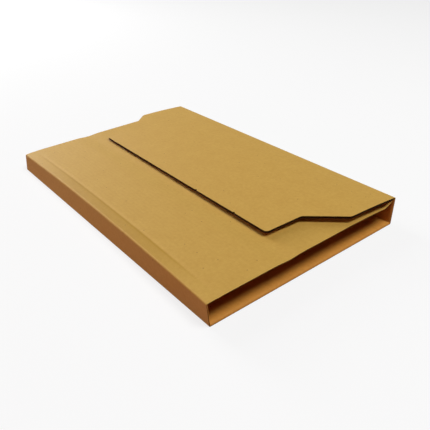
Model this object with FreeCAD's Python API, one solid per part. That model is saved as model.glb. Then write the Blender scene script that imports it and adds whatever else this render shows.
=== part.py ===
import FreeCAD, Part
import math
import os

# A wrap-around book mailer of brown corrugated board, folded up and closed.
# One die-cut sheet makes the bottom panel, two spines and the left top panel,
# and a closing flap folds over from the top of the right spine.
# X runs from the left spine to the right spine, Y along the folds, Z up.
# The origin is on the surface that the mailer lies on, under its middle.
# "Near" is the open end at low Y and "far" is the open end at high Y.
# All sizes are in millimetres.

# Whole mailer
length = 251.0
width = 165.0
board = 1.6

# Right spine, up to the top of the closing flap
right_height = 21.6

# Left top panel: height of its outer face at the bends that run along Y
spine_fold_height_near = 16.8
spine_fold_height_far = 13.9
second_score_height_near = 17.0
second_score_height_far = 14.8
crown_height_near = 17.6
crown_height_far = 18.1
lip_root_height = 16.5

# The left spine's top leans outwards at the near end and inwards further on,
# and it bows between the ends, so its lean is given at four places along Y
near_bow_place = -40.0
far_bow_place = 60.0
spine_lean_near = -2.0
spine_lean_near_bow = 1.2
spine_lean_far_bow = 2.4
spine_lean_far = 1.3

# Left top panel: the second score runs along the fold of the left spine, this far from it
second_score_width = 8.8

# Left top panel: how far its other bends lie from the foot of the left spine
dent_offset = 60.0
crown_offset = 126.0

# The dent where the panel has been pressed along its length
dent_depth = 0.85
dent_slope_width = 9.0

# The panel's free end is bent up against the underside of the closing flap
lip_run = 6.0
lip_side_gap = 1.9
lip_top_gap = 0.35

# How far from its corner the rounding of each fold starts, on the outer side
bottom_fold_reach = 0.8
top_fold_reach = 1.3

# Closing flap, seen from above: distances from the left spine's outer face
shoulder_offset = 119.0
tongue_root_offset = 95.3
tongue_end_offset_near = 65.4
tongue_end_offset_far = 68.9

# Closing flap, seen from above: half lengths along Y
shoulder_half_length = 123.9
tongue_root_half_length = 103.2
tongue_end_half_length = 102.5

# Closing flap, seen from above: it lies a little askew, shifted towards the far end
shoulder_shift = 0.6
tongue_root_shift = 1.3
tongue_end_shift = 2.4

# Closing flap, seen from above: how far from each corner its rounding starts
tongue_corner_reach = 3.0
root_corner_reach = 0.7
shoulder_corner_reach = 0.5

# Closing flap: rise of its top face above the hinge, where it bows and twists
shoulder_rise_near = 1.0
shoulder_rise_far = 0.9
tongue_root_rise_near = 0.6
tongue_root_rise_far = -0.1
tongue_end_rise_near = -0.1
tongue_end_rise_far = -3.2

# Two small nicks left by the cutting die in the tongue's long edge, at these places along Y
nick_depth = 1.2
nick_width = 2.2
first_nick_place = -27.0
second_nick_place = -69.0

# The flap's edge turns about the crease with this much air under it
hinge_gap = 0.15

left_face = -width / 2.0
right_face = width / 2.0
near_end = -length / 2.0
far_end = length / 2.0

# The crease that the closing flap turns about, in the middle of the board
hinge_x = right_face - board / 2.0
hinge_z = right_height - board / 2.0
right_spine_top = hinge_z - board / 2.0 - hinge_gap


def unit(vector):
    """A copy of a vector with length one."""
    result = FreeCAD.Vector(vector)
    result.normalize()
    return result


def left_normal(start, end):
    """The direction to the left of a walk from start to end in an XZ plane."""
    along = unit(end - start)
    return FreeCAD.Vector(-along.z, 0, along.x)


def shifted_line(points, distance):
    """Points of an open line in an XZ plane, moved to its left with mitred corners."""
    result = []
    last = len(points) - 1
    for index, point in enumerate(points):
        before = left_normal(points[max(index - 1, 0)], points[max(index, 1)])
        after = left_normal(points[min(index, last - 1)], points[min(index + 1, last)])
        mitre = unit(before + after)
        result.append(point + mitre * (distance / mitre.dot(after)))
    return result


def rounded_outline(corners):
    """A closed wire through corners, each given as a point and how far its rounding reaches."""
    starts = []
    ends = []
    edges = []
    for index, (point, reach) in enumerate(corners):
        before = unit(corners[index - 1][0] - point)
        after = unit(corners[(index + 1) % len(corners)][0] - point)
        if reach == 0:
            starts.append(point)
            ends.append(point)
            edges.append(None)
            continue
        half_angle = before.getAngle(after) / 2.0
        radius = reach * math.tan(half_angle)
        bisector = unit(before + after)
        middle = point + bisector * (radius / math.sin(half_angle) - radius)
        starts.append(point + before * reach)
        ends.append(point + after * reach)
        edges.append(Part.Arc(starts[-1], middle, ends[-1]).toShape())
    outline = []
    for index, arc in enumerate(edges):
        if arc is not None:
            outline.append(arc)
        following = (index + 1) % len(corners)
        outline.append(Part.makeLine(ends[index], starts[following]))
    return Part.Wire(outline)


def between(near, far, y):
    """A value at y that changes evenly from the near end to the far end."""
    return near + (far - near) * (y - near_end) / length


def wrap_section(y, spine_lean):
    """The folded sheet cut across its folds at y, as a closed wire."""
    spine_fold_height = between(spine_fold_height_near, spine_fold_height_far, y)
    second_score_height = between(second_score_height_near, second_score_height_far, y)
    crown_height = between(crown_height_near, crown_height_far, y)
    second_score_offset = spine_lean + second_score_width

    def bend(offset, height):
        return FreeCAD.Vector(left_face + offset, y, height)

    def undented(offset):
        share = (offset - second_score_offset) / (crown_offset - second_score_offset)
        return second_score_height + share * (crown_height - second_score_height)

    lip_end_offset = width - board - lip_side_gap
    lip_end_height = right_height - board - lip_top_gap
    dent_start = dent_offset - dent_slope_width
    dent_finish = dent_offset + dent_slope_width

    outer = [
        bend(width, right_spine_top),
        bend(width, 0),
        bend(0, 0),
        bend(spine_lean, spine_fold_height),
        bend(second_score_offset, second_score_height),
        bend(dent_start, undented(dent_start)),
        bend(dent_offset, undented(dent_offset) - dent_depth),
        bend(dent_finish, undented(dent_finish)),
        bend(crown_offset, crown_height),
        bend(lip_end_offset - lip_run, lip_root_height),
        bend(lip_end_offset, lip_end_height),
    ]
    reaches = [0, bottom_fold_reach, bottom_fold_reach, top_fold_reach]
    reaches += [0] * (len(outer) - len(reaches))
    inner = shifted_line(outer, -board)

    corners = list(zip(outer, reaches))
    corners += [(point, 0) for point in reversed(inner)]
    return rounded_outline(corners)


def wrap_sheet():
    """Bottom panel, both spines and the left top panel: one folded sheet."""
    sections = [
        wrap_section(near_end, spine_lean_near),
        wrap_section(near_bow_place, spine_lean_near_bow),
        wrap_section(far_bow_place, spine_lean_far_bow),
        wrap_section(far_end, spine_lean_far),
    ]
    return Part.makeLoft(sections, True, True)


def flap_section(y, shoulder_rise, tongue_root_rise, tongue_end_rise):
    """The closing flap cut across its crease at y, as a closed wire."""
    tongue_end_offset = min(tongue_end_offset_near, tongue_end_offset_far)
    top_points = [
        FreeCAD.Vector(hinge_x, y, right_height),
        FreeCAD.Vector(left_face + shoulder_offset, y, right_height + shoulder_rise),
        FreeCAD.Vector(left_face + tongue_root_offset, y, right_height + tongue_root_rise),
        FreeCAD.Vector(left_face + tongue_end_offset, y, right_height + tongue_end_rise),
    ]
    down = FreeCAD.Vector(0, 0, -board)
    top_curve = Part.BSplineCurve()
    top_curve.interpolate(top_points)
    bottom_curve = Part.BSplineCurve()
    bottom_curve.interpolate([point + down for point in reversed(top_points)])
    nose_tip = FreeCAD.Vector(hinge_x + board / 2.0, y, hinge_z)
    return Part.Wire([
        top_curve.toShape(),
        Part.makeLine(top_points[-1], top_points[-1] + down),
        bottom_curve.toShape(),
        Part.Arc(top_points[0] + down, nose_tip, top_points[0]).toShape(),
    ])


def flap_outline():
    """The closing flap seen from above, with its shoulders, tongue and rounded corners."""
    beyond_hinge = width + board
    hinge_offset = width - board / 2.0

    def corner(offset, y, reach):
        return FreeCAD.Vector(left_face + offset, y, 0), reach

    return rounded_outline([
        corner(beyond_hinge, near_end, 0),
        corner(beyond_hinge, far_end, 0),
        corner(hinge_offset, far_end, 0),
        corner(shoulder_offset, shoulder_shift + shoulder_half_length, shoulder_corner_reach),
        corner(tongue_root_offset, tongue_root_shift + tongue_root_half_length, root_corner_reach),
        corner(tongue_end_offset_far, tongue_end_shift + tongue_end_half_length, tongue_corner_reach),
        corner(tongue_end_offset_near, tongue_end_shift - tongue_end_half_length, tongue_corner_reach),
        corner(tongue_root_offset, tongue_root_shift - tongue_root_half_length, root_corner_reach),
        corner(shoulder_offset, shoulder_shift - shoulder_half_length, shoulder_corner_reach),
        corner(hinge_offset, near_end, 0),
    ])


def nick(place):
    """A small V cut into the tongue's long edge at one place along Y."""
    share = (place - tongue_end_shift + tongue_end_half_length) / (2.0 * tongue_end_half_length)
    edge_x = left_face + tongue_end_offset_near + share * (tongue_end_offset_far - tongue_end_offset_near)
    half_width = nick_width / 2.0
    mouth = nick_width
    points = [
        FreeCAD.Vector(edge_x - nick_depth, place - mouth, 0),
        FreeCAD.Vector(edge_x - nick_depth, place + mouth, 0),
        FreeCAD.Vector(edge_x, place + half_width, 0),
        FreeCAD.Vector(edge_x + nick_depth, place, 0),
        FreeCAD.Vector(edge_x, place - half_width, 0),
    ]
    cut = Part.Face(Part.makePolygon(points + points[:1]))
    return cut.extrude(FreeCAD.Vector(0, 0, 2.0 * right_height))


def closing_flap():
    """The flap that folds over from the right spine and lies on the left panel."""
    near = flap_section(near_end, shoulder_rise_near, tongue_root_rise_near, tongue_end_rise_near)
    far = flap_section(far_end, shoulder_rise_far, tongue_root_rise_far, tongue_end_rise_far)
    bowed_sheet = Part.makeLoft([near, far], True, True)
    outline = Part.Face(flap_outline()).extrude(FreeCAD.Vector(0, 0, 2.0 * right_height))
    flap = bowed_sheet.common(outline)
    flap = flap.cut([nick(first_nick_place), nick(second_nick_place)])
    return flap.Solids[0]


def save(name, shape):
    """Writes one solid to its file and prints what it is."""
    shape.exportStep("parts/" + name + ".step")
    box = shape.BoundBox
    print(name, "solids", len(shape.Solids), "valid", shape.isValid(), "volume", round(shape.Volume, 1))
    print("  from", round(box.XMin, 2), round(box.YMin, 2), round(box.ZMin, 2))
    print("  to  ", round(box.XMax, 2), round(box.YMax, 2), round(box.ZMax, 2))


os.makedirs("parts", exist_ok=True)
save("wrap_sheet", wrap_sheet())
save("closing_flap", closing_flap())
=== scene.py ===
"""The looks of a wrap-around book mailer of brown corrugated board, built around its CAD model.

The mailer is one die-cut sheet. Each part of it is drawn as the three papers of the board:
an outer liner, an inner liner and a wavy fluting between them, so that every cut edge shows
its layers. X runs from the left spine to the right spine, Y along the folds, Z up.
"Near" is the open end at low Y and "far" is the open end at high Y. All sizes are in metres.
"""

import math

import bmesh
import bpy
import numpy as np
from mathutils import Matrix, Vector


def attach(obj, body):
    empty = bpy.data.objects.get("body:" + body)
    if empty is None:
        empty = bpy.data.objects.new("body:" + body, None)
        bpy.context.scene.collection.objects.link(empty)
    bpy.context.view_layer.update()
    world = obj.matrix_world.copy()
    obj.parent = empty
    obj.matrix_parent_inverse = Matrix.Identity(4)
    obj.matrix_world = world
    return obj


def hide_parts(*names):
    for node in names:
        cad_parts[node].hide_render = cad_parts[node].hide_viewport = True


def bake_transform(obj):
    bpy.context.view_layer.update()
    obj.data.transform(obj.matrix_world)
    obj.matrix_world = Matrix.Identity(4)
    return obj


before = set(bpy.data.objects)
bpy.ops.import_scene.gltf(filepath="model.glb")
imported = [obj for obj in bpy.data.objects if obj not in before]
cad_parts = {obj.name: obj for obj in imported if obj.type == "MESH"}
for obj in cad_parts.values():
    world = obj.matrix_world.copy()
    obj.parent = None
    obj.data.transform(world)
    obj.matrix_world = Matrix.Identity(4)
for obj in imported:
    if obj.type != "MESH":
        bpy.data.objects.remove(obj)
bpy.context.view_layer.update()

bl_info = {
    "name": "Wrap-around cardboard mailer",
    "version": (1, 0, 0),
    "blender": (4, 5, 0),
    "location": "3D View > Sidebar > Mailer",
    "description": "Builds a folded book mailer of corrugated board with a hinged closing flap",
    "category": "Object",
}

millimetre = 0.001

# The left top panel: heights of its bends at the near and far end
spine_fold_height = (0.0168, 0.0139)
second_score_height = (0.0170, 0.0148)
crown_height = (0.0176, 0.0181)
lip_root_height = (0.0165, 0.0165)

# The left spine bows: places along Y, and how far its top leans in at each of them
spine_lean_places = (-0.1255, -0.040, 0.060, 0.1255)
spine_leans = (-0.0020, 0.0012, 0.0024, 0.0013)

# The second score runs along the spine's fold. The other bends are measured from the spine's foot.
second_score_width = 0.0088
dent_offset = 0.060
crown_offset = 0.126

# The board is pressed thin where the die creased it, and its cut ends are pressed together
score_depth = 0.00022
score_half_width = 0.0016
crush_share = 0.7
crush_reach = 0.0018
crush_steps = 4

# Painted shade on the outer liner: how dark it is beside the left fold and along a line at the second score,
# and the painted highlight just beyond the score
strip_shade_amount = 0.62
line_shade_amount = 0.45
highlight_shade_amount = -0.15

# Places along Y: where the painted shade of the strip and of its line start, are full, fade and end
strip_shade_places = (-0.105, -0.060, 0.050, 0.110)
line_shade_places = (-0.112, -0.082, 0.092, 0.122)

# The long dent, and the free end that is bent up under the flap
dent_depth = 0.00085
dent_slope_width = 0.009
lip_run = 0.006
lip_side_gap = 0.0019
lip_top_gap = 0.00035

# The right spine stops this far under the flap, and the crease's liners bridge the gap
hinge_gap = 0.00015
outer_crease_run = 0.003
inner_crease_run = 0.001
inner_crease_pinch = 0.0004

# How far from its corner the rounding of each bend starts, on the outer and the inner side
bottom_fold_reach = (0.0008, 0.0006)
top_fold_reach = (0.0013, 0.0006)
score_reach = (0.0012, 0.0012)
dent_reach = (0.004, 0.004)
crown_reach = (0.018, 0.018)
lip_reach = (0.0015, 0.0010)

# Closing flap seen from above: distances from the left spine's outer face, half lengths and shifts
shoulder_offset = 0.119
tongue_root_offset = 0.0953
tongue_end_offset = (0.0654, 0.0689)
shoulder_half_length = 0.1239
tongue_root_half_length = 0.1032
tongue_end_half_length = 0.1025
shoulder_shift = 0.0006
tongue_root_shift = 0.0013
tongue_end_shift = 0.0024
tongue_corner_reach = 0.003
root_corner_reach = 0.0007
shoulder_corner_reach = 0.0005

# Closing flap: rise of its top face above the hinge at the near and far end
shoulder_rise = (0.0010, 0.0009)
tongue_root_rise = (0.0006, -0.0001)
tongue_end_rise = (-0.0001, -0.0032)

# Two small nicks left by the cutting die in the tongue's long edge
nick_places = (-0.027, -0.069)
nick_reach = 0.004

# How finely the papers are drawn
liner_spacing = 0.0008
samples_per_flute = 8
liner_rows = 36
fluting_rows = 10
fold_steps = 5
flap_corner_steps = 8
crease_steps = 8


def linear(code):
    """Linear red, green and blue of an sRGB hex colour."""
    values = [int(code[place:place + 2], 16) / 255 for place in (1, 3, 5)]
    return [v / 12.92 if v <= 0.04045 else ((v + 0.055) / 1.055) ** 2.4 for v in values]


class MailerSizes(bpy.types.PropertyGroup):
    """Sizes of the mailer that a user would change."""

    length: bpy.props.FloatProperty(
        name="Length", description="Along the folds", default=0.251, unit="LENGTH")
    width: bpy.props.FloatProperty(
        name="Width", description="From spine to spine", default=0.165, unit="LENGTH")
    right_height: bpy.props.FloatProperty(
        name="Right height", description="Up to the top of the closing flap at its crease",
        default=0.0216, unit="LENGTH")
    board: bpy.props.FloatProperty(
        name="Board", description="Thickness of the corrugated board", default=0.0016, unit="LENGTH")
    liner: bpy.props.FloatProperty(
        name="Liner", description="Thickness of each liner", default=0.0002, unit="LENGTH")
    fluting: bpy.props.FloatProperty(
        name="Fluting", description="Thickness of the wavy paper", default=0.00016, unit="LENGTH")
    flute_pitch: bpy.props.FloatProperty(
        name="Flute pitch", description="From one wave of the fluting to the next",
        default=0.0033, unit="LENGTH")
    nick_depth: bpy.props.FloatProperty(
        name="Nick depth", description="Of the two small cuts in the tongue's edge",
        default=0.0012, unit="LENGTH")
    nick_width: bpy.props.FloatProperty(
        name="Nick width", description="Of the two small cuts in the tongue's edge",
        default=0.0022, unit="LENGTH")


class MailerColours(bpy.types.PropertyGroup):
    """Colours of the mailer's papers."""

    outer_liner: bpy.props.FloatVectorProperty(
        name="Outer liner", description="Kraft liner on the outside", subtype="COLOR",
        default=linear("#C49E49"))
    outer_liner_dark: bpy.props.FloatVectorProperty(
        name="Outer liner, dark", description="Its darker clouds and fibres", subtype="COLOR",
        default=linear("#AC8231"))
    inner_liner: bpy.props.FloatVectorProperty(
        name="Inner liner", description="Kraft liner on the inside", subtype="COLOR",
        default=linear("#DA983E"))
    inner_liner_dark: bpy.props.FloatVectorProperty(
        name="Inner liner, dark", description="Its darker clouds and fibres", subtype="COLOR",
        default=linear("#BE7F2F"))
    fluting: bpy.props.FloatVectorProperty(
        name="Fluting", description="Recycled paper of the waves", subtype="COLOR",
        default=linear("#8F6535"))
    # The cut edge colour: the torn fibres' darker brown, darkened further as painted shade of the flute
    # hollows and of the gap under the flap
    edge_colour_with_shade: bpy.props.FloatVectorProperty(
        name="Cut edge", description="Torn fibres where the die has cut", subtype="COLOR",
        default=linear("#42260B"))
    speck: bpy.props.FloatVectorProperty(
        name="Speck", description="Bits of bark in the liners", subtype="COLOR",
        default=linear("#6B4520"))


# Shapes

def between(ends, share):
    """A value at a share of the way from the near end to the far end."""
    return ends[0] + (ends[1] - ends[0]) * share


def through(places, values, at):
    """The value at one place of the smooth curve through four known values."""
    total = 0.0
    for place, value in zip(places, values):
        weight = 1.0
        for other in places:
            if other != place:
                weight *= (at - other) / (place - other)
        total += value * weight
    return total


def unit(vector):
    """A copy of a vector with length one."""
    return vector / np.linalg.norm(vector)


def shifted_line(corners, distance):
    """An open line moved to its left with mitred corners."""
    moved = []
    last = len(corners) - 1
    for index, corner in enumerate(corners):
        before = unit(corners[max(index, 1)] - corners[max(index - 1, 0)])
        after = unit(corners[min(index + 1, last)] - corners[min(index, last - 1)])
        left_before = np.array([-before[1], before[0]])
        left_after = np.array([-after[1], after[0]])
        mitre = unit(left_before + left_after)
        moved.append(corner + mitre * distance / mitre.dot(left_after))
    return np.array(moved)


def rounded_line(corners, reaches, run_steps, bend_steps):
    """Points along a line of straight runs whose bends are rounded."""
    points = [corners[0]]
    last = len(corners) - 1
    for index in range(1, last + 1):
        corner = corners[index]
        along = unit(corner - corners[index - 1])
        start = corners[index - 1] + along * reaches[index - 1]
        end = corner - along * reaches[index]
        for step in range(1, run_steps[index - 1] + 1):
            points.append(start + (end - start) * step / run_steps[index - 1])
        if index == last:
            break
        leave = corner + unit(corners[index + 1] - corner) * reaches[index]
        for step in range(1, bend_steps[index] + 1):
            t = step / bend_steps[index]
            points.append((1 - t) ** 2 * end + 2 * t * (1 - t) * corner + t ** 2 * leave)
    return np.array(points)


def spine_lean(sizes, share):
    """How far the left spine's top leans in, on a smooth curve through its known places."""
    return through(spine_lean_places, spine_leans, (share - 0.5) * sizes.length)


def wrap_corners(sizes, share):
    """Outer corners of the folded sheet, as X and Z, from the right spine's top to the panel's free end."""
    left_face = -sizes.width / 2
    lean = spine_lean(sizes, share)
    second_score_offset = lean + second_score_width

    def bend(offset, height):
        return left_face + offset, height

    def undented(offset):
        start = between(second_score_height, share)
        rise = (offset - second_score_offset) / (crown_offset - second_score_offset)
        return start + rise * (between(crown_height, share) - start)

    lip_end_offset = sizes.width - sizes.board - lip_side_gap
    dent_start = dent_offset - dent_slope_width
    dent_finish = dent_offset + dent_slope_width
    return np.array([
        bend(sizes.width, sizes.right_height - sizes.board - hinge_gap),
        bend(sizes.width, 0),
        bend(0, 0),
        bend(lean, between(spine_fold_height, share)),
        bend(second_score_offset, between(second_score_height, share)),
        bend(dent_start, undented(dent_start)),
        bend(dent_offset, undented(dent_offset) - dent_depth),
        bend(dent_finish, undented(dent_finish)),
        bend(crown_offset, between(crown_height, share)),
        bend(lip_end_offset - lip_run, between(lip_root_height, share)),
        bend(lip_end_offset, sizes.right_height - sizes.board - lip_top_gap),
    ])


def rows_with_ends(sizes, count):
    """Even shares from the near end to the far end, with extra ones where the cut ends are crushed."""
    close = [crush_reach * step / crush_steps / sizes.length for step in range(1, crush_steps + 1)]
    return np.array(sorted([*np.linspace(0, 1, count + 1), *close, *(1 - share for share in close)]))


def board_left(sizes, share):
    """How much of the board's thickness is left here: its cut ends are crushed by the die."""
    from_end = min(share, 1 - share) * sizes.length
    return 1 - crush_share * max(0.0, 1 - from_end / crush_reach) ** 2


def score_groove(sizes, outer, lean):
    """Depth of the second score's wide groove at each point of a section's outer face."""
    inset = outer[:, 0] + sizes.width / 2 - lean - second_score_width
    depth = score_depth * np.exp(-(inset / score_half_width) ** 2)
    depth[outer[:, 1] < min(spine_fold_height)] = 0
    return depth


def wrap_faces(sizes, spacing, rows):
    """Grids of points on the outer and inner face of the folded sheet, each column's place along it,
    and the column where the left top panel starts."""
    straight = (0.0, 0.0)
    reaches = [straight, bottom_fold_reach, bottom_fold_reach, top_fold_reach, score_reach,
               dent_reach, dent_reach, dent_reach, crown_reach, lip_reach, straight]
    middle = wrap_corners(sizes, 0.5)
    runs = np.linalg.norm(np.diff(middle, axis=0), axis=1)
    run_steps = []
    for index, run in enumerate(runs):
        left = run - reaches[index][0] - reaches[index + 1][0]
        run_steps.append(max(1, round(left / spacing)))
    bend_steps = [max(fold_steps, round(2 * reach[0] / spacing)) for reach in reaches]

    outer_columns = []
    inner_columns = []
    for share in rows:
        corners = wrap_corners(sizes, share)
        inner_corners = shifted_line(corners, -sizes.board * board_left(sizes, share))
        outer = rounded_line(corners, [reach[0] for reach in reaches], run_steps, bend_steps)
        outer[:, 1] -= score_groove(sizes, outer, spine_lean(sizes, share))
        inner = rounded_line(inner_corners, [reach[1] for reach in reaches], run_steps, bend_steps)
        y = (share - 0.5) * sizes.length
        outer_columns.append([(x, y, z) for x, z in outer])
        inner_columns.append([(x, y, z) for x, z in inner])
    outer_grid = np.array(outer_columns).transpose(1, 0, 2)
    inner_grid = np.array(inner_columns).transpose(1, 0, 2)
    centre = (outer_grid[:, 0] + inner_grid[:, 0]) / 2
    steps = np.linalg.norm(np.diff(centre, axis=0), axis=1)
    along = np.concatenate([[0], np.cumsum(steps)])
    panel_start = sum(run_steps[:3]) + sum(bend_steps[1:4])
    return outer_grid, inner_grid, along, panel_start


def painted_shade_strip(sizes, grid, panel_start):
    """Painted shade on the outer liner between the left fold and the second score, where the strip tilts
    away from the light, and at the score a painted dark line before it and a painted highlight beyond it.
    All of it fades towards both ends."""
    y = grid[..., 1]
    lean = through(spine_lean_places, spine_leans, y)
    # Both in millimetres: the painted dark line lies 0.6 mm before the score and the painted highlight 1.2
    # mm beyond it
    beyond_fold = (grid[..., 0] + sizes.width / 2 - lean) / millimetre
    beyond_score = beyond_fold - second_score_width / millimetre
    strip = np.clip(beyond_fold, 0, 1) * np.clip(0.4 - beyond_score, 0, 1)
    line = np.exp(-((beyond_score + 0.6) / 0.7) ** 2)
    highlight = np.exp(-((beyond_score - 1.2) / 0.8) ** 2)
    painted_shade = strip_shade_amount * strip * np.interp(y, strip_shade_places, (0, 1, 1, 0))
    painted_shade += (line_shade_amount * line + highlight_shade_amount * highlight) * np.interp(y, line_shade_places, (0, 1, 1, 0))
    painted_shade[:panel_start] = 0
    return painted_shade


def flap_height(sizes, x, share):
    """Height of the closing flap's top face at X, on a smooth curve through its four known places."""
    left_face = -sizes.width / 2
    places = [sizes.width / 2 - sizes.board / 2, left_face + shoulder_offset,
              left_face + tongue_root_offset, left_face + min(tongue_end_offset)]
    rises = [0.0, between(shoulder_rise, share), between(tongue_root_rise, share),
             between(tongue_end_rise, share)]
    return sizes.right_height + through(places, rises, x)


def flap_side(sizes, side):
    """One side of the closing flap seen from above, from its crease to the tongue's end, as X and Y."""
    left_face = -sizes.width / 2
    corners = np.array([
        (sizes.width / 2, side * sizes.length / 2),
        (left_face + shoulder_offset, shoulder_shift + side * shoulder_half_length),
        (left_face + tongue_root_offset, tongue_root_shift + side * tongue_root_half_length),
        (left_face + tongue_end_offset[side > 0], tongue_end_shift + side * tongue_end_half_length),
        (left_face + sum(tongue_end_offset) / 2, tongue_end_shift),
    ])
    reaches = [0, shoulder_corner_reach, root_corner_reach, tongue_corner_reach, 0]
    runs = [1] * len(corners)
    bends = [flap_corner_steps] * len(corners)
    line = rounded_line(corners, reaches, runs, bends)[:-1]
    line[:, 0] = np.minimum.accumulate(line[:, 0])
    return line


def nick_cut(sizes, y):
    """How far the tongue's edge is cut in at Y."""
    cut = 0.0
    for place in nick_places:
        cut += sizes.nick_depth * max(0.0, 1.0 - abs(y - place) / (sizes.nick_width / 2))
    return cut


def flap_faces(sizes, spacing, row_count):
    """Grids of points on the outer and inner face of the closing flap, and each column's place along it."""
    near_side = flap_side(sizes, -1)
    far_side = flap_side(sizes, 1)
    start = crease_end_x(sizes)
    root = -sizes.width / 2 + tongue_root_offset
    near_tip, far_tip = near_side[-1, 0], far_side[-1, 0]
    skew = (root - far_tip) / (root - near_tip)
    count = round((start - near_tip) / spacing)
    columns = set(np.linspace(start, near_tip, count + 1))
    near_corner = [x for x in near_side[:, 0] if near_tip < x < near_tip + tongue_corner_reach]
    far_corner = [x for x in far_side[:, 0] if far_tip < x < far_tip + tongue_corner_reach]
    columns.update(near_corner)
    columns.update(root - (root - x) / skew for x in far_corner)
    columns = sorted(columns, reverse=True)

    def side_y(side, x):
        return np.interp(-x, -side[:, 0], side[:, 1])

    near_end, far_end = near_side[-1, 1], far_side[-1, 1]
    shares = set(np.linspace(0, 1, row_count + 1))
    for place in nick_places:
        for step in (-1, -0.5, 0, 0.5, 1):
            y = place + step * sizes.nick_width / 2
            shares.add((y - near_end) / (far_end - near_end))
    shares = sorted(shares)

    outer_grid = []
    for near_x in columns:
        far_x = near_x if near_x > root else root - (root - near_x) * skew
        near_y, far_y = side_y(near_side, near_x), side_y(far_side, far_x)
        outer_row = []
        for share in shares:
            x = near_x + share * (far_x - near_x)
            y = near_y + share * (far_y - near_y)
            pull = max(0.0, 1.0 - (near_x - near_tip) / nick_reach)
            place = x + pull * nick_cut(sizes, y)
            outer_row.append((place, y, flap_height(sizes, place, 0.5 + y / sizes.length)))
        outer_grid.append(outer_row)
    outer_grid = np.array(outer_grid)
    inner_grid = outer_grid - np.array([0, 0, sizes.board])
    along = np.array([x - start for x in columns])
    return outer_grid, inner_grid, along


def crease_end_x(sizes):
    """X where the flap's flat board starts, as far from the hinge as the right spine's top is."""
    return sizes.width / 2 - sizes.board - hinge_gap


def crease_faces(sizes, row_count):
    """Grids on the faces of the outer and the inner liner where they bend over the crease."""
    half = sizes.board / 2
    hinge = np.array([sizes.width / 2 - half, sizes.right_height - half])
    end_x = crease_end_x(sizes)
    spine_top = sizes.right_height - sizes.board - hinge_gap
    steps_along = np.linspace(0, 1, crease_steps + 1)
    grids = [[], [], [], []]
    for share in np.linspace(0, 1, row_count + 1):
        y = (share - 0.5) * sizes.length
        flap_top = flap_height(sizes, end_x, share)
        for grid, radius in ((grids[0], half), (grids[1], half - sizes.liner)):
            drop = half - radius
            line = [(hinge[0] + radius, spine_top)]
            line += [(hinge[0] + radius * math.cos(turn), hinge[1] + radius * math.sin(turn))
                     for turn in steps_along * math.pi / 2]
            line.append((end_x, flap_top - drop))
            grid.append([(x, y, z) for x, z in line])
        spine_face = sizes.width / 2 - sizes.board
        flap_face = flap_top - sizes.board
        for grid, lift in ((grids[2], 0.0), (grids[3], sizes.liner)):
            start = np.array([spine_face + lift, spine_top])
            finish = np.array([end_x, flap_face + lift])
            inwards = unit(hinge - (start + finish) / 2)
            line = []
            for step in steps_along:
                straight = start + (finish - start) * step
                depth = math.sin(math.pi * step) * (inner_crease_pinch - lift / 2)
                line.append(straight + inwards * depth)
            grid.append([(x, y, z) for x, z in line])
    return [np.array(grid).transpose(1, 0, 2) for grid in grids]


def shell(name, top, bottom, along, materials, cut_columns=None, painted_shade=None, flute_sides=()):
    """A closed sheet of paper between two grids of points, with its place in the flat sheet as a UV map.
    Along the columns that are named as cut, the second material is on its rim and on the sides that face the
    flutes, where 0 is the top grid and 1 is the bottom grid; on those sides it is painted shade of the
    hollows between the flutes."""
    columns, rows = top.shape[:2]
    points = np.concatenate([top.reshape(-1, 3), bottom.reshape(-1, 3)])
    half = columns * rows

    def index(column, row, side):
        return side * half + column * rows + row

    faces = []
    for column in range(columns - 1):
        for row in range(rows - 1):
            corners = [(column, row), (column + 1, row), (column + 1, row + 1), (column, row + 1)]
            faces.append([index(c, r, 0) for c, r in corners])
            faces.append([index(c, r, 1) for c, r in reversed(corners)])
    broad_faces = len(faces)
    rim = [(column, 0) for column in range(columns)]
    rim += [(columns - 1, row) for row in range(1, rows)]
    rim += [(column, rows - 1) for column in range(columns - 2, -1, -1)]
    rim += [(0, row) for row in range(rows - 2, 0, -1)]
    for place, corner in enumerate(rim):
        following = rim[(place + 1) % len(rim)]
        faces.append([index(*corner, 0), index(*corner, 1), index(*following, 1), index(*following, 0)])

    cut = np.zeros(columns, bool) if cut_columns is None else cut_columns
    rim_materials = [int(cut[column]) for column, row in rim]
    broad_materials = [int(cut[column] and side in flute_sides)
                       for column in range(columns - 1) for row in range(rows - 1) for side in (0, 1)]

    mesh = bpy.data.meshes.new(name)
    mesh.from_pydata(points.tolist(), [], faces)
    for material in materials:
        mesh.materials.append(material)
    mesh.polygons.foreach_set("material_index", broad_materials + rim_materials)
    # The painted shade of the strip by the left fold, if given, goes into a point attribute that the liner
    # material reads
    shade_amount = mesh.attributes.new("painted_shade", "FLOAT", "POINT")
    if painted_shade is not None:
        shade_amount.data.foreach_set("value", np.tile(painted_shade.ravel(), 2))
    sheet_map = mesh.uv_layers.new(name="Sheet")
    places = np.zeros((2, columns, rows, 2))
    places[..., 0] = along[None, :, None]
    places[0, ..., 1] = top[..., 1]
    places[1, ..., 1] = bottom[..., 1]
    places = places.reshape(-1, 2)
    corner_points = np.zeros(len(mesh.loops), int)
    mesh.loops.foreach_get("vertex_index", corner_points)
    sheet_map.uv.foreach_set("vector", places[corner_points].ravel())

    tidy = bmesh.new()
    tidy.from_mesh(mesh)
    bmesh.ops.recalc_face_normals(tidy, faces=tidy.faces)
    tidy.to_mesh(mesh)
    tidy.free()
    smooth = [place < broad_faces for place in range(len(mesh.polygons))]
    mesh.polygons.foreach_set("use_smooth", smooth)
    mesh.set_sharp_from_angle(angle=math.radians(50))
    paper = bpy.data.objects.new(name, mesh)
    bpy.context.scene.collection.objects.link(paper)
    return paper


def paper_layer(outer_grid, inner_grid, share):
    """A grid between the two faces of the board, at a share of the way out from the inner face."""
    return inner_grid + (outer_grid - inner_grid) * share


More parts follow.
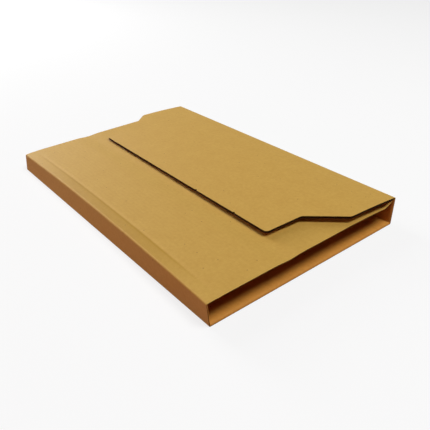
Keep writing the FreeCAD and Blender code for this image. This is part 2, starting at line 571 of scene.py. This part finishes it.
def fluting_layers(sizes, outer_grid, inner_grid, along, origin):
    """The two faces of the wavy paper between the liners."""
    turn = 2 * math.pi / sizes.flute_pitch
    phase = (along - origin) * turn
    liner = sizes.liner / sizes.board
    reach = sizes.board / 2 - sizes.liner - sizes.fluting / 2
    middle = 0.5 - np.cos(phase) * reach / sizes.board
    slope = np.sin(phase) * reach * turn
    half = sizes.fluting / 2 / sizes.board * np.sqrt(1 + slope ** 2)
    upper = np.minimum(middle + half, 1 - liner)[:, None, None]
    lower = np.maximum(middle - half, liner)[:, None, None]
    return paper_layer(outer_grid, inner_grid, upper), paper_layer(outer_grid, inner_grid, lower)


# Materials

def plug(sockets, name):
    """The socket in use that has this name or number."""
    if isinstance(name, int):
        return sockets[name]
    return next(item for item in sockets if item.enabled and item.name == name)


def add(tree, kind, values=None, links=None, **settings):
    """Adds one node with its settings, the values of its inputs and the links into them."""
    made = tree.nodes.new(kind)
    for name, value in settings.items():
        setattr(made, name, value)
    for name, value in (values or {}).items():
        plug(made.inputs, name).default_value = value
    for name, source in (links or {}).items():
        tree.links.new(source, plug(made.inputs, name))
    return made


def kraft_paper(name, light, dark, speck, cloud_share, flute_pitch):
    """Kraft liner: long pine fibres felted into a matt sheet, so it looks cloudy, with fine streaks across
    the flutes, a few bits of bark, and a faint washboard where it is glued to the fluting. An attribute adds
    painted shade and a painted highlight beside the second score."""
    material = bpy.data.materials.new(name)
    material.use_nodes = True
    tree = material.node_tree
    shader = tree.nodes["Principled BSDF"]
    shader.inputs["Roughness"].default_value = 0.7
    shader.inputs["IOR"].default_value = 1.45
    shader.inputs["Specular IOR Level"].default_value = 0.42

    place = add(tree, "ShaderNodeUVMap", uv_map="Sheet")
    sheet = add(tree, "ShaderNodeVectorMath", {"Scale": 1 / millimetre}, {"Vector": place.outputs["UV"]},
                operation="SCALE")

    # Clouds of fibre about 14 mm across, and smaller mottling about 2.5 mm across
    clouds = add(tree, "ShaderNodeTexNoise", {"Scale": 1 / 14, "Detail": 3.0, "Roughness": 0.6},
                 {"Vector": sheet.outputs["Vector"]}, noise_dimensions="2D")
    mottle = add(tree, "ShaderNodeTexNoise", {"Scale": 1 / 2.5, "Detail": 2.0, "Roughness": 0.6},
                 {"Vector": sheet.outputs["Vector"]}, noise_dimensions="2D")

    # Fibres are 3 mm long and 0.03 mm thick. Drawn 0.35 mm thick, so that they show.
    stretched = add(tree, "ShaderNodeVectorMath", {1: (1 / 3, 1 / 0.35, 1)},
                    {0: sheet.outputs["Vector"]}, operation="MULTIPLY")
    fibres = add(tree, "ShaderNodeTexNoise", {"Scale": 1.0, "Detail": 3.0, "Roughness": 0.65},
                 {"Vector": stretched.outputs["Vector"]}, noise_dimensions="2D")

    broad = add(tree, "ShaderNodeMath", {1: cloud_share}, {0: clouds.outputs["Fac"]}, operation="MULTIPLY")
    middle = add(tree, "ShaderNodeMath", {1: 0.3}, {0: mottle.outputs["Fac"], 2: broad.outputs[0]},
                 operation="MULTIPLY_ADD")
    fine = add(tree, "ShaderNodeMath", {1: 0.35}, {0: fibres.outputs["Fac"], 2: middle.outputs[0]},
               operation="MULTIPLY_ADD")
    darkness = add(tree, "ShaderNodeMapRange", {"From Min": 0.15, "From Max": 0.75},
                   {"Value": fine.outputs[0]})
    paper = add(tree, "ShaderNodeMix", {"A": (*light, 1), "B": (*dark, 1)},
                {"Factor": darkness.outputs[0]}, data_type="RGBA")

    # Bits of bark up to 0.9 mm across, one in about every third cell of 14 mm
    cells = add(tree, "ShaderNodeTexVoronoi", {"Scale": 1 / 14}, {"Vector": sheet.outputs["Vector"]},
                voronoi_dimensions="2D")
    small = add(tree, "ShaderNodeMapRange", {"From Min": 0.032, "From Max": 0.022},
                {"Value": cells.outputs["Distance"]})
    chosen = add(tree, "ShaderNodeMath", {1: 0.66}, {0: cells.outputs["Color"]}, operation="GREATER_THAN")
    bark = add(tree, "ShaderNodeMath", {}, {0: small.outputs[0], 1: chosen.outputs[0]}, operation="MULTIPLY")
    bark = add(tree, "ShaderNodeMath", {1: 0.7}, {0: bark.outputs[0]}, operation="MULTIPLY")
    coloured = add(tree, "ShaderNodeMix", {"B": (*speck, 1)},
                   {"Factor": bark.outputs[0], "A": plug(paper.outputs, "Result")}, data_type="RGBA")

    # Painted shade: where the shade attribute is 1 the liner is about a third darker and yellower, and below
    # 0 it is painted lighter as a highlight
    painted_shade = add(tree, "ShaderNodeAttribute", attribute_name="painted_shade")
    shaded = add(tree, "ShaderNodeMix", {"B": (0.74, 0.67, 0.15, 1)},
                 {"Factor": painted_shade.outputs["Fac"], "A": plug(coloured.outputs, "Result")},
                 data_type="RGBA", blend_type="MULTIPLY", clamp_factor=False)
    tree.links.new(plug(shaded.outputs, "Result"), shader.inputs["Base Color"])

    # The liner sinks 0.02 mm between the flutes' tips, and the fibres stand up 0.01 mm
    parts = add(tree, "ShaderNodeSeparateXYZ", {}, {"Vector": sheet.outputs["Vector"]})
    waves = add(tree, "ShaderNodeMath", {1: 2 * math.pi * millimetre / flute_pitch},
                {0: parts.outputs["X"]}, operation="MULTIPLY")
    waves = add(tree, "ShaderNodeMath", {}, {0: waves.outputs[0]}, operation="COSINE")
    washboard = add(tree, "ShaderNodeBump", {"Strength": 0.5, "Distance": 0.00002},
                    {"Height": waves.outputs[0]})
    grain = add(tree, "ShaderNodeBump", {"Strength": 0.6, "Distance": 0.00003},
                {"Height": fibres.outputs["Fac"], "Normal": washboard.outputs["Normal"]})
    tree.links.new(grain.outputs["Normal"], shader.inputs["Normal"])
    return material


def plain_paper(name, colour):
    """Recycled paper of short grey-brown fibres, soft and matt: the fluting, and the cut edge, whose torn
    fibres are darker brown than the liners and whose colour is darkened further as painted shade of the
    flute hollows and of the gap under the flap."""
    material = bpy.data.materials.new(name)
    material.use_nodes = True
    tree = material.node_tree
    shader = tree.nodes["Principled BSDF"]
    shader.inputs["Roughness"].default_value = 0.95
    shader.inputs["IOR"].default_value = 1.45
    shader.inputs["Specular IOR Level"].default_value = 0.15
    place = add(tree, "ShaderNodeUVMap", uv_map="Sheet")
    sheet = add(tree, "ShaderNodeVectorMath", {"Scale": 1 / millimetre}, {"Vector": place.outputs["UV"]},
                operation="SCALE")

    # Mottling about 1.5 mm across
    mottle = add(tree, "ShaderNodeTexNoise", {"Scale": 1 / 1.5, "Detail": 3.0},
                 {"Vector": sheet.outputs["Vector"]}, noise_dimensions="2D")
    dark = [channel * 0.7 for channel in colour]
    paper = add(tree, "ShaderNodeMix", {"A": (*colour, 1), "B": (*dark, 1)},
                {"Factor": mottle.outputs["Fac"]}, data_type="RGBA")
    tree.links.new(plug(paper.outputs, "Result"), shader.inputs["Base Color"])
    return material


def papers(context):
    """The papers of the board and its cut edge, made once and shared by every piece."""
    if "kraft_liner_outside" not in bpy.data.materials:
        colours = context.scene.mailer_colours
        pitch = context.scene.mailer_sizes.flute_pitch
        plain_paper("board_edge_and_hollow_shade", colours.edge_colour_with_shade)
        kraft_paper("kraft_liner_outside", colours.outer_liner, colours.outer_liner_dark,
                    colours.speck, 0.2, pitch)
        kraft_paper("kraft_liner_inside", colours.inner_liner, colours.inner_liner_dark,
                    colours.speck, 0.3, pitch)
        plain_paper("recycled_fluting_paper", colours.fluting)
    names = ("kraft_liner_outside", "kraft_liner_inside", "recycled_fluting_paper", "board_edge_and_hollow_shade")
    return [bpy.data.materials[name] for name in names]


# Operators

class MailerWrap(bpy.types.Operator):
    """Builds the bottom panel, both spines and the left top panel"""

    bl_idname = "mailer.wrap"
    bl_label = "Folded sheet"

    def execute(self, context):
        sizes = context.scene.mailer_sizes
        outside, inside, wavy, edge = papers(context)
        liner = sizes.liner / sizes.board
        rows = rows_with_ends(sizes, liner_rows)
        outer, inner, along, panel_start = wrap_faces(sizes, liner_spacing, rows)
        # Over the left top panel, the liners' sides that face the flutes take the cut edge colour as painted
        # shade of the hollows
        cut = np.arange(len(along)) >= panel_start
        # The outer liner also carries the painted shade and highlight of the strip by the left fold
        outer_liner = shell("wrap_outer_liner", outer, paper_layer(outer, inner, 1 - liner), along,
                            (outside, edge), cut, painted_shade_strip(sizes, outer, panel_start), flute_sides=(1,))
        inner_liner = shell("wrap_inner_liner", paper_layer(outer, inner, liner), inner, along,
                            (inside, edge), cut, flute_sides=(0,))

        spacing = sizes.flute_pitch / samples_per_flute
        rows = rows_with_ends(sizes, fluting_rows)
        outer, inner, along, panel_start = wrap_faces(sizes, spacing, rows)
        upper, lower = fluting_layers(sizes, outer, inner, along, 0.0)
        # The left top panel's fluting takes the cut edge colour on both faces as painted shade of the
        # hollows
        cut = np.arange(len(along)) >= panel_start
        fluting = shell("wrap_fluting", upper, lower, along, (wavy, edge), cut, flute_sides=(0, 1))
        for piece in (outer_liner, inner_liner, fluting):
            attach(piece, "wrap")
        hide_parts("wrap_sheet")
        return {"FINISHED"}


class MailerFlap(bpy.types.Operator):
    """Builds the closing flap with its tongue"""

    bl_idname = "mailer.flap"
    bl_label = "Closing flap"

    def execute(self, context):
        sizes = context.scene.mailer_sizes
        outside, inside, wavy, edge = papers(context)
        liner = sizes.liner / sizes.board
        outer, inner, along = flap_faces(sizes, 2 * liner_spacing, liner_rows)
        # All over the flap, the liners' sides that face the flutes take the cut edge colour as painted shade
        # of the hollows
        cut = np.ones(len(along), bool)
        outer_liner = shell("flap_outer_liner", outer, paper_layer(outer, inner, 1 - liner), along,
                            (outside, edge), cut, flute_sides=(1,))
        inner_liner = shell("flap_inner_liner", paper_layer(outer, inner, liner), inner, along,
                            (inside, edge), cut, flute_sides=(0,))

        spacing = sizes.flute_pitch / samples_per_flute
        outer, inner, along = flap_faces(sizes, spacing, fluting_rows)
        upper, lower = fluting_layers(sizes, outer, inner, along, along[-1])
        # The flap's fluting takes the cut edge colour on both faces as painted shade of the hollows
        cut = np.ones(len(along), bool)
        fluting = shell("flap_fluting", upper, lower, along, (wavy, edge), cut, flute_sides=(0, 1))
        for piece in (outer_liner, inner_liner, fluting):
            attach(piece, "flap")
        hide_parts("closing_flap")
        return {"FINISHED"}


class MailerCrease(bpy.types.Operator):
    """Builds the liners where they bend over the crease between the right spine and the flap"""

    bl_idname = "mailer.crease"
    bl_label = "Crease"

    def execute(self, context):
        sizes = context.scene.mailer_sizes
        outside, inside = papers(context)[:2]
        outer_top, outer_under, inner_under, inner_top = crease_faces(sizes, liner_rows)
        along = np.linspace(0, -outer_crease_run, len(outer_top))
        outer_skin = shell("crease_outer_liner", outer_top, outer_under, along, (outside,))
        along = np.linspace(0, -inner_crease_run, len(inner_top))
        inner_skin = shell("crease_inner_liner", inner_top, inner_under, along, (inside,))
        for piece, grid in ((outer_skin, outer_top), (inner_skin, inner_under)):
            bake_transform(piece)
        return {"FINISHED"}


class MailerStage(bpy.types.Operator):
    """Builds the floor, the light and the camera"""

    bl_idname = "mailer.stage"
    bl_label = "Stage"

    def execute(self, context):
        floor_paper()
        soft_light()
        photo_camera()
        return {"FINISHED"}


def seen_directly(tree):
    """A socket that is 1 for rays that show the background, and 0 for rays that light the object."""
    path = add(tree, "ShaderNodeLightPath")
    shown = add(tree, "ShaderNodeMath", {},
                {0: path.outputs["Is Camera Ray"], 1: path.outputs["Is Glossy Ray"]}, operation="MAXIMUM")
    shown = add(tree, "ShaderNodeMath", {},
                {0: shown.outputs[0], 1: path.outputs["Is Transmission Ray"]}, operation="MAXIMUM")
    return shown.outputs[0]


def floor_paper():
    """A white paper floor. Where it is seen it glows, so that it stays near white with a weak shadow,
    and it throws a little warm light back up at the object."""
    mesh = bpy.data.meshes.new("floor")
    reach = 3.0
    corners = [(-reach, -reach, 0), (reach, -reach, 0), (reach, reach, 0), (-reach, reach, 0)]
    mesh.from_pydata(corners, [], [(0, 1, 2, 3)])
    floor = bpy.data.objects.new("floor", mesh)
    bpy.context.scene.collection.objects.link(floor)
    material = bpy.data.materials.new("white_backdrop_paper")
    material.use_nodes = True
    tree = material.node_tree
    shader = tree.nodes["Principled BSDF"]
    shader.inputs["Roughness"].default_value = 1.0
    shader.inputs["Specular IOR Level"].default_value = 0.0
    seen = seen_directly(tree)
    colour = add(tree, "ShaderNodeMix", {"A": (0.30, 0.075, 0.04, 1), "B": (0.16, 0.16, 0.16, 1)},
                 {"Factor": seen}, data_type="RGBA")
    tree.links.new(plug(colour.outputs, "Result"), shader.inputs["Base Color"])
    glow = add(tree, "ShaderNodeMath", {1: 0.80}, {0: seen}, operation="MULTIPLY")
    tree.links.new(glow.outputs[0], shader.inputs["Emission Strength"])
    mesh.materials.append(material)


def soft_light():
    """A white world that is seen but gives no light, and four soft lamps: a key lamp above the near end,
    a low warm one on the left, and two beyond the far end that give the far left corner its sheen."""
    world = bpy.data.worlds.new("white_room")
    world.use_nodes = True
    bpy.context.scene.world = world
    tree = world.node_tree
    background = tree.nodes["Background"]
    strength = add(tree, "ShaderNodeMix", {"A": 0.0, "B": 1.0}, {"Factor": seen_directly(tree)},
                   data_type="FLOAT")
    tree.links.new(plug(strength.outputs, "Result"), background.inputs["Strength"])
    background.inputs["Color"].default_value = (1, 1, 1, 1)

    white = (1.0, 1.0, 1.0)
    warm = (1.0, 0.56, 0.60)
    for name, place, size, power, colour in (
            ("key_softbox", (0.19, -0.522, 1.178), 0.55, 11.4, white),
            ("left_softbox", (-1.28, -0.02, 0.20), 0.35, 3.8, warm),
            ("far_softbox", (0.0, 0.996, 0.836), 0.55, 4.1, white),
            ("low_far_softbox", (-0.1, 1.25, 0.336), 0.55, 12.0, white)):
        lamp = bpy.data.lights.new(name, "AREA")
        lamp.shape = "DISK"
        lamp.size = size
        lamp.energy = power
        lamp.color = colour
        softbox = bpy.data.objects.new(name, lamp)
        softbox.location = place
        softbox.rotation_euler = (-Vector(place)).to_track_quat("-Z", "Y").to_euler()
        bpy.context.scene.collection.objects.link(softbox)


def photo_camera():
    """The photograph's camera, as fitted to the outer corners of the mailer."""
    azimuth = math.radians(-39.3065)
    elevation = math.radians(30.6727)
    roll = math.radians(-0.0762)
    distance = 0.398081
    aim = Vector((0.0092095, -0.0182947, -0.0140310))
    back = Vector((math.sin(azimuth) * math.cos(elevation),
                   -math.cos(azimuth) * math.cos(elevation), math.sin(elevation)))
    level = Vector((math.cos(azimuth), math.sin(azimuth), 0))
    upright = back.cross(level)
    right = level * math.cos(roll) + upright * math.sin(roll)
    up = upright * math.cos(roll) - level * math.sin(roll)
    lens = bpy.data.cameras.new("photo_camera")
    lens.sensor_width = 36.0
    lens.lens = 42.33353
    lens.clip_start = 0.01
    camera = bpy.data.objects.new("photo_camera", lens)
    turn = Matrix((right, up, back)).transposed().to_4x4()
    camera.matrix_world = Matrix.Translation(aim + back * distance) @ turn
    bpy.context.scene.collection.objects.link(camera)
    bpy.context.scene.camera = camera
    bpy.context.scene.view_settings.view_transform = "Standard"


class MailerPanel(bpy.types.Panel):
    """Lists the steps that build the mailer"""

    bl_idname = "VIEW3D_PT_mailer"
    bl_label = "Cardboard mailer"
    bl_space_type = "VIEW_3D"
    bl_region_type = "UI"
    bl_category = "Mailer"

    def draw(self, context):
        for group in (context.scene.mailer_sizes, context.scene.mailer_colours):
            box = self.layout.box()
            for name in group.__annotations__:
                box.prop(group, name)
        for step in steps:
            self.layout.operator(step.bl_idname)


steps = (MailerWrap, MailerFlap, MailerCrease, MailerStage)
classes = (MailerSizes, MailerColours, *steps, MailerPanel)


def register():
    """Adds the add-on's classes and its settings to Blender."""
    for item in classes:
        bpy.utils.register_class(item)
    bpy.types.Scene.mailer_sizes = bpy.props.PointerProperty(type=MailerSizes)
    bpy.types.Scene.mailer_colours = bpy.props.PointerProperty(type=MailerColours)


def unregister():
    """Takes the add-on's classes and its settings out of Blender."""
    del bpy.types.Scene.mailer_colours
    del bpy.types.Scene.mailer_sizes
    for item in reversed(classes):
        bpy.utils.unregister_class(item)


def main():
    """Builds every piece and the stage."""
    register()
    bpy.ops.mailer.wrap()
    bpy.ops.mailer.flap()
    bpy.ops.mailer.crease()
    bpy.ops.mailer.stage()


if __name__ == "__main__":
    main()
